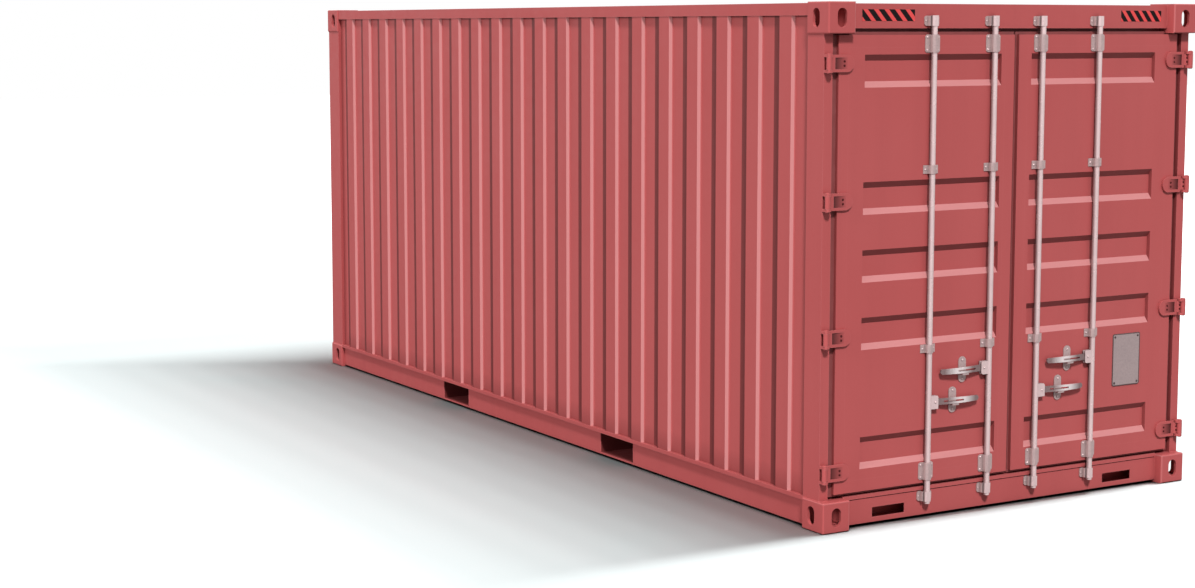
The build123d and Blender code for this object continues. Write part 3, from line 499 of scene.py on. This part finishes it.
def handle_material(name, highlight_place):
    """A handle with a painted highlight at one share of its length, duller elsewhere, and painted shade in
    its corners and its slot.
    """
    s = Shader(name)
    away = s.math("ABSOLUTE", s.math("SUBTRACT", s.along("Generated", "Y"), highlight_place))
    # Painted highlight at one share of the length, fading to the duller colour
    dull = s.band(away, HANDLE_HIGHLIGHT_NEAR, HANDLE_HIGHLIGHT_FAR)
    base = s.mix(dull, linear(HANDLE_HIGHLIGHT), linear(HANDLE_DULL))
    # Painted shade in the handle's corners
    painted_shade = s.math("MULTIPLY", s.cavity(ZINC_CORNER, 0.25, 0.70), 0.9)
    base = s.mix(painted_shade, base, linear(METAL_DARK))
    # Painted shade on the slot's upper and lower walls
    half_height = s.math("ABSOLUTE", s.math("SUBTRACT", s.along("Generated", "Z"), 0.5))
    level = s.band(s.math("ABSOLUTE", s.along("Normal", "Z")), 0.40, 0.80)
    slot = s.math("MULTIPLY", level, s.band(half_height, 0.25, 0.30, 1.0, 0.0))
    base = s.mix(slot, base, linear(SLOT_SHADE))
    return smooth_metal(s, base)


def plywood_material():
    """Sealed plywood with grain along the container and a joint every sheet."""
    s = Shader("worn_plywood")
    grain = s.noise(6.0, detail=6.0, roughness=0.65, where=s.stretched(1.2, 26.0, 26.0))
    base = s.mix(s.band(grain, 0.30, 0.70), linear(PLYWOOD), linear(PLYWOOD_DARK))
    wear = s.band(s.noise(2.0, detail=5.0), 0.5, 0.8)
    base = s.mix(s.math("MULTIPLY", wear, 0.35), base, linear(PLYWOOD_DARK))
    share = s.math("FRACT", s.math("DIVIDE", s.along("Object", "X"), PLYWOOD_SHEET))
    base = s.mix(s.math("LESS_THAN", share, PLYWOOD_JOINT_SHARE), base, linear(PLYWOOD_JOINT))
    return s.finish(base, s.band(wear, 0.0, 1.0, 0.55, 0.75), s.bump(grain, 0.15, 0.001))


def plain_paint(name, colour):
    """A small painted mark or screw head with slight wear."""
    s = Shader(name)
    s.feed(s.surface.inputs["Specular IOR Level"], MARK_GLOSS)
    wear = s.band(s.noise(40.0, detail=4.0), 0.58, 0.70)
    light = tuple(min(1.0, c + 0.06) for c in colour)
    base = s.mix(s.math("MULTIPLY", wear, 0.35), linear(colour), linear(light))
    return s.finish(base, s.band(s.noise(25.0), 0.3, 0.7, 0.45, 0.60), s.bump(s.noise(420.0), 0.08, 0.0004))


MATERIALS = {
    "paint": paint_material("faded_red_paint", 0.60, 0.40),
    "door_paint": paint_material("door_frame_paint", 0.50, 0.10),
    "casting_paint": casting_material(),
    "wall_paint": wall_material(),
    "panel_paint": panel_material(),
    "blade_paint": blade_material(),
    # Painted shade on the pockets' sides and plates
    "pocket_shade_paint": plain_paint("pocket_shade_paint", POCKET_SHADE),
    "seal_rubber": rubber_material(),
    "zinc_grey": zinc_material("zinc_brackets", METAL_GREY, 0.38, 0.52, ZINC_METALLIC),
    "rod_metal": rod_material(),
    "handle_towards_left": handle_material("handle_towards_left", HANDLE_HIGHLIGHT_PLACE),
    "handle_towards_right": handle_material("handle_towards_right", 1.0 - HANDLE_HIGHLIGHT_PLACE),
    "plate_metal": zinc_material("plate_metal", PLATE_GREY, 0.34, 0.46, PLATE_METALLIC),
    "plywood": plywood_material(),
    # A dark red for painted shade on the hinge bolts and under the sill's lip
    "shade_red": plain_paint("shade_red", SHADE_RED),
    "stripe_red": plain_paint("stripe_red", STRIPE_RED),
    "stripe_black": plain_paint("stripe_black", STRIPE_BLACK),
    "screw_grey": plain_paint("screw_grey", SCREW_GREY),
    "metal_dark": plain_paint("metal_dark", METAL_DARK),
}

# Nodes whose finish is a kind of its own within their slot
NODE_FINISH = {
    "castings_door_end": "casting_paint",
    "castings_blind_end": "casting_paint",
    "side_wall_right": "wall_paint",
    "side_wall_left": "wall_paint",
    "left_door_frame": "door_paint",
    "right_door_frame": "door_paint",
    "left_door_panel": "panel_paint",
    "right_door_panel": "panel_paint",
    "left_hinge_blades": "blade_paint",
    "right_hinge_blades": "blade_paint",
    "pocket_sides": "pocket_shade_paint",
    "pocket_plates": "pocket_shade_paint",
    "handle_1": "handle_towards_right",
    "handle_2": "handle_towards_left",
    "handle_3": "handle_towards_right",
    "handle_4": "handle_towards_left",
}


def dress_nodes():
    """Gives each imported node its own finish, or else the one of its slot."""
    for part in frame["record"]["subparts"]:
        node = frame["nodes"][part["node"]]
        node.data.materials.clear()
        node.data.materials.append(MATERIALS[NODE_FINISH.get(part["node"], part["material_slot"])])


def solids(node):
    """Lowest and highest corner of each separate solid in a node, lowest solid first."""
    mesh = frame["nodes"][node].data
    owner = {}
    keys = []
    for vertex in mesh.vertices:
        key = tuple(round(c, 5) for c in vertex.co)
        keys.append(key)
        owner.setdefault(key, key)

    def root(key):
        while owner[key] != key:
            owner[key] = owner[owner[key]]
            key = owner[key]
        return key

    for polygon in mesh.polygons:
        first = root(keys[polygon.vertices[0]])
        for index in polygon.vertices[1:]:
            owner[root(keys[index])] = first
    groups = {}
    for key in owner:
        groups.setdefault(root(key), []).append(key)
    boxes = []
    for points in groups.values():
        low = Vector([min(p[i] for p in points) for i in range(3)])
        high = Vector([max(p[i] for p in points) for i in range(3)])
        boxes.append((low, high))
    return sorted(boxes, key=lambda box: (round(box[0].z, 3), round(box[0].y, 3), round(box[0].x, 3)))


def piece(name, builder, body, material, smooth=True):
    """A new mesh object from a bmesh, on a body, with its finish."""
    mesh = bpy.data.meshes.new(name)
    builder.to_mesh(mesh)
    builder.free()
    made = bpy.data.objects.new(name, mesh)
    bpy.context.scene.collection.objects.link(made)
    for polygon in mesh.polygons:
        polygon.use_smooth = smooth
    mesh.materials.append(MATERIALS[material])
    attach(made, body)


def add_lathe(builder, place, normal, profile, sides):
    """A closed head turned round the normal, from (radius, rise) points that end at its middle."""
    turn = FORWARD.rotation_difference(normal)
    rows = []
    for radius, rise in profile[:-1]:
        row = []
        for side in range(sides):
            angle = 2 * math.pi * (side + 0.5) / sides
            offset = Vector((rise, radius * math.cos(angle), radius * math.sin(angle)))
            row.append(builder.verts.new(place + turn @ offset))
        rows.append(row)
    top = builder.verts.new(place + turn @ Vector((profile[-1][1], 0, 0)))
    for lower, upper in zip(rows, rows[1:]):
        for side in range(sides):
            after = (side + 1) % sides
            builder.faces.new((lower[side], lower[after], upper[after], upper[side]))
    for side in range(sides):
        builder.faces.new((rows[-1][side], rows[-1][(side + 1) % sides], top))
    builder.faces.new(list(reversed(rows[0])))


def dome_profile(radius, height):
    """A low domed rivet head: a rim a quarter as high as the head, and a round top on it."""
    rim = height / 4
    points = [(radius, -SINK), (radius, rim)]
    for share in (0.45, 0.75):
        angle = share * math.pi / 2
        points.append((radius * math.cos(angle), rim + (height - rim) * math.sin(angle)))
    return points + [(0.0, height)]


def bolt_profile(radius, height):
    """A bolt head with a bevelled rim."""
    return [(radius, -SINK), (radius, height * 0.7), (radius * 0.8, height), (0.0, height)]


def fasten(name, body, material, places, profile, normal=FORWARD, sides=14):
    """One mesh of like fasteners that all face the same way."""
    builder = bmesh.new()
    for place in places:
        add_lathe(builder, place, normal, profile, sides)
    piece(name, builder, body, material)


RIVET = dome_profile(RIVET_RADIUS, RIVET_HEIGHT)
SMALL_RIVET = dome_profile(RIVET_RADIUS * SMALL_RIVET_SHARE, RIVET_HEIGHT * SMALL_RIVET_SHARE)
BOLT = bolt_profile(BOLT_RADIUS, BOLT_HEIGHT)
PIN_HEAD = bolt_profile(PIN_HEAD_RADIUS, PIN_HEAD_HEIGHT)
SCREW_HEAD = bolt_profile(SCREW_RADIUS, SCREW_HEIGHT)


def bracket_rivets(side):
    """Four rivets on each tall rod bracket and two on each short one."""
    places = []
    for low, high in solids(side + "_rod_brackets"):
        middle = (low.z + high.z) / 2
        tall = high.z - low.z > TALL_BRACKET
        heights = (low.z + FOOT_INSET, high.z - FOOT_INSET) if tall else (middle,)
        for y in (low.y + FOOT_INSET, high.y - FOOT_INSET):
            for z in heights:
                places.append(Vector((low.x + BRACKET_FOOT, y, z)))
    fasten(side + "_bracket_rivets", "door_" + side, "rod_metal", places, RIVET)


def catch_rivets(side):
    """Two rivets on each handle catch, near its round ends."""
    places = []
    for low, high in solids(side + "_handle_catches"):
        for z in (low.z + CATCH_RIVET_INSET, high.z - CATCH_RIVET_INSET):
            places.append(Vector((low.x + CATCH_PLATE, (low.y + high.y) / 2, z)))
    fasten(side + "_catch_rivets", "door_" + side, "rod_metal", places, RIVET)


def keeper_rivets():
    """One rivet on the foot of each keeper jaw, on the side away from the rod."""
    places = []
    rod_boxes = [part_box(f"lock_rod_{number}") for number in (1, 2, 3, 4)]
    rods = [(low.y + high.y) / 2 for low, high in rod_boxes]
    for low, high in solids("cam_keepers"):
        rod = min(rods, key=lambda y: abs(y - (low.y + high.y) / 2))
        y = high.y - KEEPER_INSET if low.y > rod else low.y + KEEPER_INSET
        places.append(Vector((low.x + KEEPER_FOOT, y, (low.z + high.z) / 2)))
    fasten("keeper_rivets", "frame", "rod_metal", places, SMALL_RIVET)


def hub_rivets():
    """The peened end of each handle's pin, on the front plate of its hub."""
    for number in (1, 2, 3, 4):
        rod_low, rod_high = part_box(f"lock_rod_{number}")
        low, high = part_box(f"handle_{number}")
        x = (rod_low.x + rod_high.x) / 2 + HUB_FRONT
        rod_y = (rod_low.y + rod_high.y) / 2
        y = low.y + HANDLE_ROOT if low.y > rod_y else high.y - HANDLE_ROOT
        places = [Vector((x, y, (low.z + high.z) / 2))]
        fasten(f"hub_rivet_{number}", f"lock_rod_{number}", "rod_metal", places, RIVET)


def hinge_bolts(side):
    """Two bolts in the hollow of each hinge blade and two on its neck."""
    places = []
    for low, high in solids(side + "_hinge_blades"):
        end = high.y if side == "left" else low.y
        outward = -1 if side == "left" else 1
        middle = (low.z + high.z) / 2
        for rise in (-HINGE_BOLT_RISE, HINGE_BOLT_RISE):
            x = low.x + BLADE_FRONT - BLADE_BOLT_DROP
            places.append(Vector((x, end + outward * BLADE_BOLT_REACH, middle + rise)))
            x = low.x + NECK_BOLT_STAND
            places.append(Vector((x, end + outward * NECK_BOLT_REACH, middle + rise)))
    # The bolts take a dark red as painted shade
    fasten(side + "_hinge_bolts", "door_" + side, "shade_red", places, BOLT)


def pin_heads():
    """A head on the top and bottom of each hinge pin."""
    tops = []
    bottoms = []
    for low, high in solids("hinge_lugs"):
        y = high.y - PIN_INSET_Y if high.y > 0 else low.y + PIN_INSET_Y
        tops.append(Vector((high.x - PIN_INSET_X, y, high.z)))
        bottoms.append(Vector((high.x - PIN_INSET_X, y, low.z)))
    fasten("pin_heads_top", "frame", "paint", tops, PIN_HEAD, UPWARD, sides=18)
    fasten("pin_heads_bottom", "frame", "paint", bottoms, PIN_HEAD, -UPWARD, sides=18)


def plate_rivets():
    """One rivet in each corner of the plate."""
    low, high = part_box("data_plate")
    places = []
    for y in (low.y + PLATE_INSET, high.y - PLATE_INSET):
        for z in (low.z + PLATE_INSET, high.z - PLATE_INSET):
            places.append(Vector((high.x, y, z)))
    fasten("plate_rivets", "door_right", "metal_dark", places, RIVET)


def rounded_outline(low_y, high_y, low_z, high_z, radius):
    """Points round a rectangle with quarter-circle corners, in (y, z)."""
    points = []
    corners = ((high_y, high_z, 0), (low_y, high_z, 1), (low_y, low_z, 2), (high_y, low_z, 3))
    for y, z, quarter in corners:
        middle_y = y + (radius if y == low_y else -radius)
        middle_z = z + (radius if z == low_z else -radius)
        for step in range(RIM_CORNER_STEPS + 1):
            angle = math.pi / 2 * (quarter + step / RIM_CORNER_STEPS)
            points.append((middle_y + radius * math.cos(angle), middle_z + radius * math.sin(angle)))
    return points


def plate_rim():
    """A raised bead pressed round the edge of the plate."""
    low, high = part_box("data_plate")
    outer = rounded_outline(low.y, high.y, low.z, high.z, RIM_CORNER)
    inset = RIM_WIDTH
    radius = RIM_CORNER - inset
    inner = rounded_outline(low.y + inset, high.y - inset, low.z + inset, high.z - inset, radius)
    builder = bmesh.new()
    rings = []
    foot = high.x - SINK
    top = high.x + RIM_RISE
    for outline, x in ((outer, foot), (outer, top), (inner, top), (inner, foot)):
        rings.append([builder.verts.new((x, y, z)) for y, z in outline])
    count = len(outer)
    for ring, after_ring in zip(rings, rings[1:] + rings[:1]):
        for index in range(count):
            after = (index + 1) % count
            builder.faces.new((ring[index], ring[after], after_ring[after], after_ring[index]))
    bmesh.ops.recalc_face_normals(builder, faces=builder.faces)
    piece("plate_rim", builder, "door_right", "metal_dark", smooth=False)


def floor_screws():
    """A row of countersunk screws in the plywood over each cross member."""
    floor_low, floor_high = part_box("floor_boards")
    places = []
    for low, high in solids("cross_members"):
        for number in range(FLOOR_SCREWS):
            share = number / (FLOOR_SCREWS - 1)
            span = floor_high.y - floor_low.y - 2 * FLOOR_SCREW_MARGIN
            y = floor_low.y + FLOOR_SCREW_MARGIN + share * span
            places.append(Vector(((low.x + high.x) / 2, y, floor_high.z)))
    fasten("floor_screws", "frame", "screw_grey", places, SCREW_HEAD, UPWARD, sides=8)


def add_bead(builder, start, end):
    """A rippled weld bead along a straight corner."""
    along = end - start
    turn = FORWARD.rotation_difference(along.normalized())
    steps = max(2, round(along.length / BEAD_STEP))
    rows = []
    for step in range(steps + 1):
        radius = BEAD_RADIUS * (0.85 + 0.15 * (step % 2))
        row = []
        for side in range(BEAD_SIDES):
            angle = 2 * math.pi * side / BEAD_SIDES
            offset = turn @ Vector((0, radius * math.cos(angle), radius * math.sin(angle)))
            row.append(builder.verts.new(start + along * (step / steps) + offset))
        rows.append(row)
    for lower, upper in zip(rows, rows[1:]):
        for side in range(BEAD_SIDES):
            after = (side + 1) % BEAD_SIDES
            builder.faces.new((lower[side], lower[after], upper[after], upper[side]))
    builder.faces.new(list(reversed(rows[0])))
    builder.faces.new(rows[-1])


def weld_beads():
    """Welds where the posts, headers and sills meet the corner castings."""
    builder = bmesh.new()
    for node in ("door_post_right", "door_post_left", "blind_post_right", "blind_post_left"):
        low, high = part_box(node)
        at_door = node.startswith("door")
        outer_y = high.y if high.y > 0 else low.y
        inner_y = low.y if high.y > 0 else high.y
        end_x = high.x if at_door else low.x
        back_x = low.x if at_door else high.x
        if at_door:
            inner_y = outer_y - math.copysign(POST_FACE_WIDTH, outer_y)
        for z in (low.z, high.z):
            add_bead(builder, Vector((end_x, inner_y, z)), Vector((end_x, outer_y, z)))
            add_bead(builder, Vector((back_x, outer_y, z)), Vector((end_x, outer_y, z)))
    for node in ("door_header", "door_sill", "blind_header", "blind_sill"):
        low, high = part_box(node)
        x = high.x if node.startswith("door") else low.x
        for y in (low.y, high.y):
            add_bead(builder, Vector((x, y, low.z)), Vector((x, y, high.z)))
    piece("casting_welds", builder, "frame", "paint")


def add_slab(builder, corners, low_x, high_x):
    """A thin slab whose outline is given as (y, z) corners."""
    back = [builder.verts.new((low_x, y, z)) for y, z in corners]
    front = [builder.verts.new((high_x, y, z)) for y, z in corners]
    count = len(corners)
    for index in range(count):
        after = (index + 1) % count
        builder.faces.new((back[index], back[after], front[after], front[index]))
    builder.faces.new(front)
    builder.faces.new(list(reversed(back)))


def cut(corners, limit, side):
    """The part of a (y, z) outline beyond a limit in y, with side 1, or short of it, with side -1."""
    kept = []
    for (y, z), (next_y, next_z) in zip(corners, corners[1:] + corners[:1]):
        inside = (y - limit) * side >= 0
        if inside:
            kept.append((y, z))
        if inside != ((next_y - limit) * side >= 0):
            share = (limit - y) / (next_y - y)
            kept.append((limit, z + share * (next_z - z)))
    return kept


def hazard_stripes():
    """A black patch with red bars that lean towards -Y as they rise, near each end of the header."""
    low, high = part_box("door_header")
    low_z = low.z + STRIPE_RISE
    high_z = low_z + STRIPE_HEIGHT
    left_y = low.y + STRIPE_LEFT_START
    right_y = high.y - STRIPE_RIGHT_START
    spans = ((left_y, left_y + STRIPE_LEFT_LENGTH), (right_y - STRIPE_RIGHT_LENGTH, right_y))
    ground_x = high.x + STRIPE_THICKNESS
    reds = bmesh.new()
    blacks = bmesh.new()
    for low_y, high_y in spans:
        outline = [(low_y, low_z), (high_y, low_z), (high_y, high_z), (low_y, high_z)]
        add_slab(blacks, outline, high.x, ground_x)
        pitch = (high_y - low_y) / STRIPE_PITCHES
        width = STRIPE_WIDTH_SHARE * pitch
        lean = STRIPE_LEAN_SHARE * pitch
        for number in range(STRIPE_BARS):
            start = low_y + (number + STRIPE_START_SHARE) * pitch
            foot = [(start, low_z), (start + width, low_z)]
            head = [(start + width - lean, high_z), (start - lean, high_z)]
            bar = cut(cut(foot + head, low_y, 1), high_y, -1)
            add_slab(reds, bar, ground_x, ground_x + STRIPE_THICKNESS)
    piece("header_stripe_ground", blacks, "frame", "stripe_black", smooth=False)
    piece("header_stripe_bars", reds, "frame", "stripe_red", smooth=False)


def sill_lip_shadow():
    """A dark strip on the sill's face, right under its lip: a painted shadow of the lip."""
    lip_low, lip_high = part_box("sill_lip")
    sill_low, sill_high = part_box("door_sill")
    ends = (max(lip_low.y, sill_low.y), min(lip_high.y, sill_high.y))
    low_z = lip_low.z - LIP_SHADOW_HEIGHT
    outline = [(ends[0], low_z), (ends[1], low_z), (ends[1], lip_low.z), (ends[0], lip_low.z)]
    builder = bmesh.new()
    add_slab(builder, outline, sill_high.x, sill_high.x + STRIPE_THICKNESS)
    piece("sill_lip_shadow", builder, "frame", "shade_red", smooth=False)


def make_stage():
    """A pale floor that keeps the shadow, with a painted contact shadow where the object meets it, and
    white in the light.
    """
    builder = bmesh.new()
    bmesh.ops.create_grid(builder, x_segments=1, y_segments=1, size=FLOOR_HALF)
    mesh = bpy.data.meshes.new("floor")
    builder.to_mesh(mesh)
    builder.free()
    floor = bpy.data.objects.new("floor", mesh)
    floor.location.z = -FLOOR_DROP
    bpy.context.scene.collection.objects.link(floor)
    s = Shader("floor_pale")
    seen = s.add("ShaderNodeLightPath").outputs["Is Camera Ray"]
    low, high = cad_box
    past_end = s.math("SUBTRACT", s.math("ABSOLUTE", s.along("Object", "X")), high[0])
    past_side = s.math("SUBTRACT", s.math("ABSOLUTE", s.along("Object", "Y")), high[1])
    away = s.math("MAXIMUM", past_end, past_side)
    clear = s.math("MAXIMUM", s.band(past_side, 0.0, NEAR_REACH), s.band(past_end, -NEAR_REACH, 0.0))
    pale = s.mix(clear, linear(FLOOR_NEAR), linear(FLOOR_PALE))
    # Painted contact shadow: dark where the container covers the floor
    contact_shadow = s.cavity(CONTACT_REACH, 0.30, 0.65)
    pale = s.mix(contact_shadow, pale, linear(FLOOR_CONTACT_SHADOW))
    s.finish(s.mix(seen, linear(FLOOR_BOUNCE), pale), 0.9)
    s.feed(s.surface.inputs["Specular IOR Level"], 0.0)
    glow = s.band(away, GLOW_START, GLOW_FULL)
    s.feed(s.surface.inputs["Emission Color"], (1.0, 1.0, 1.0, 1.0))
    s.feed(s.surface.inputs["Emission Strength"], s.math("MULTIPLY", seen, glow))
    mesh.materials.append(s.material)
    return floor


def make_world():
    """White behind everything, and softer as a light than it looks."""
    world = bpy.data.worlds.new("studio")
    world.use_nodes = True
    tree = world.node_tree
    background = tree.nodes["Background"]
    background.inputs["Color"].default_value = (1.0, 1.0, 1.0, 1.0)
    rays = tree.nodes.new("ShaderNodeLightPath")
    seen = tree.nodes.new("ShaderNodeMath")
    seen.operation = "MAXIMUM"
    tree.links.new(rays.outputs["Is Camera Ray"], seen.inputs[0])
    tree.links.new(rays.outputs["Is Glossy Ray"], seen.inputs[1])
    level = tree.nodes.new("ShaderNodeMapRange")
    level.inputs["To Min"].default_value = WORLD_LIGHT
    level.inputs["To Max"].default_value = 1.0
    tree.links.new(seen.outputs["Value"], level.inputs["Value"])
    tree.links.new(level.outputs["Result"], background.inputs["Strength"])
    bpy.context.scene.world = world


def hang(name, kind, energy, floor, floor_only):
    """A lamp for the floor alone, or for all but the floor."""
    lamp = bpy.data.lights.new(name, kind)
    lamp.energy = energy
    made = bpy.data.objects.new(name, lamp)
    bpy.context.scene.collection.objects.link(made)
    receivers = bpy.data.collections.new(name + "_receivers")
    receivers.objects.link(floor)
    made.light_linking.receiver_collection = receivers
    if not floor_only:
        receivers.collection_objects[0].light_linking.link_state = "EXCLUDE"
    return made


def sun(name, azimuth, elevation, strength, angle, floor, shines):
    """A distant lamp for the object, at an azimuth from +X towards +Y, with highlights if it shines."""
    made = hang(name, "SUN", strength, floor, floor_only=False)
    made.visible_glossy = shines
    made.data.angle = math.radians(angle)
    a = math.radians(azimuth)
    e = math.radians(elevation)
    towards = Vector((math.cos(a) * math.cos(e), math.sin(a) * math.cos(e), math.sin(e)))
    made.rotation_mode = "QUATERNION"
    made.rotation_quaternion = towards.to_track_quat("Z", "Y")


def shadow_fan(floor):
    """Lamps whose shadows end one by one, each as bright on the floor as the next."""
    low, high = cad_box
    for number in range(SHADOW_LAMPS):
        reach = SHADOW_FIRST_REACH + SHADOW_STRIDE * number + SHADOW_SPREAD * number**3
        across = SHADOW_LAMP_Y - low[1] + reach
        up = high[2] * across / reach
        distance = math.hypot(across, up)
        energy = SHADOW_LIGHT * 4 * math.pi * distance**3 / up
        made = hang(f"shadow_{number}", "POINT", energy, floor, floor_only=True)
        made.data.shadow_soft_size = SHADOW_SOFTNESS * distance
        made.location = (SHADOW_LAMP_X, SHADOW_LAMP_Y, up)


def make_camera():
    """The camera at the photo's viewing angle."""
    data = bpy.data.cameras.new("camera")
    data.sensor_width = SENSOR_WIDTH
    data.lens = CAMERA_LENS
    data.shift_y = CAMERA_SHIFT
    data.clip_end = CAMERA_REACH
    made = bpy.data.objects.new("camera", data)
    a = math.radians(CAMERA_AZIMUTH)
    e = math.radians(CAMERA_DOWN)
    looks = Vector((-math.sin(a) * math.cos(e), math.cos(a) * math.cos(e), -math.sin(e)))
    made.location = CAMERA_PLACE
    made.rotation_mode = "QUATERNION"
    made.rotation_quaternion = looks.to_track_quat("-Z", "Y")
    bpy.context.scene.collection.objects.link(made)
    bpy.context.scene.camera = made


dress_nodes()
for door_side in ("left", "right"):
    bracket_rivets(door_side)
    catch_rivets(door_side)
    hinge_bolts(door_side)
keeper_rivets()
hub_rivets()
pin_heads()
plate_rivets()
plate_rim()
floor_screws()
weld_beads()
hazard_stripes()
sill_lip_shadow()
make_world()
ground = make_stage()
shadow_fan(ground)
sun("key", azimuth=-22.0, elevation=46.0, strength=2.95, angle=8.0, floor=ground, shines=True)
sun("fill", azimuth=-88.0, elevation=20.0, strength=1.38, angle=20.0, floor=ground, shines=False)
sun("back", azimuth=137.0, elevation=14.0, strength=2.20, angle=20.0, floor=ground, shines=False)
make_camera()
bpy.context.scene.view_settings.view_transform = "Standard"
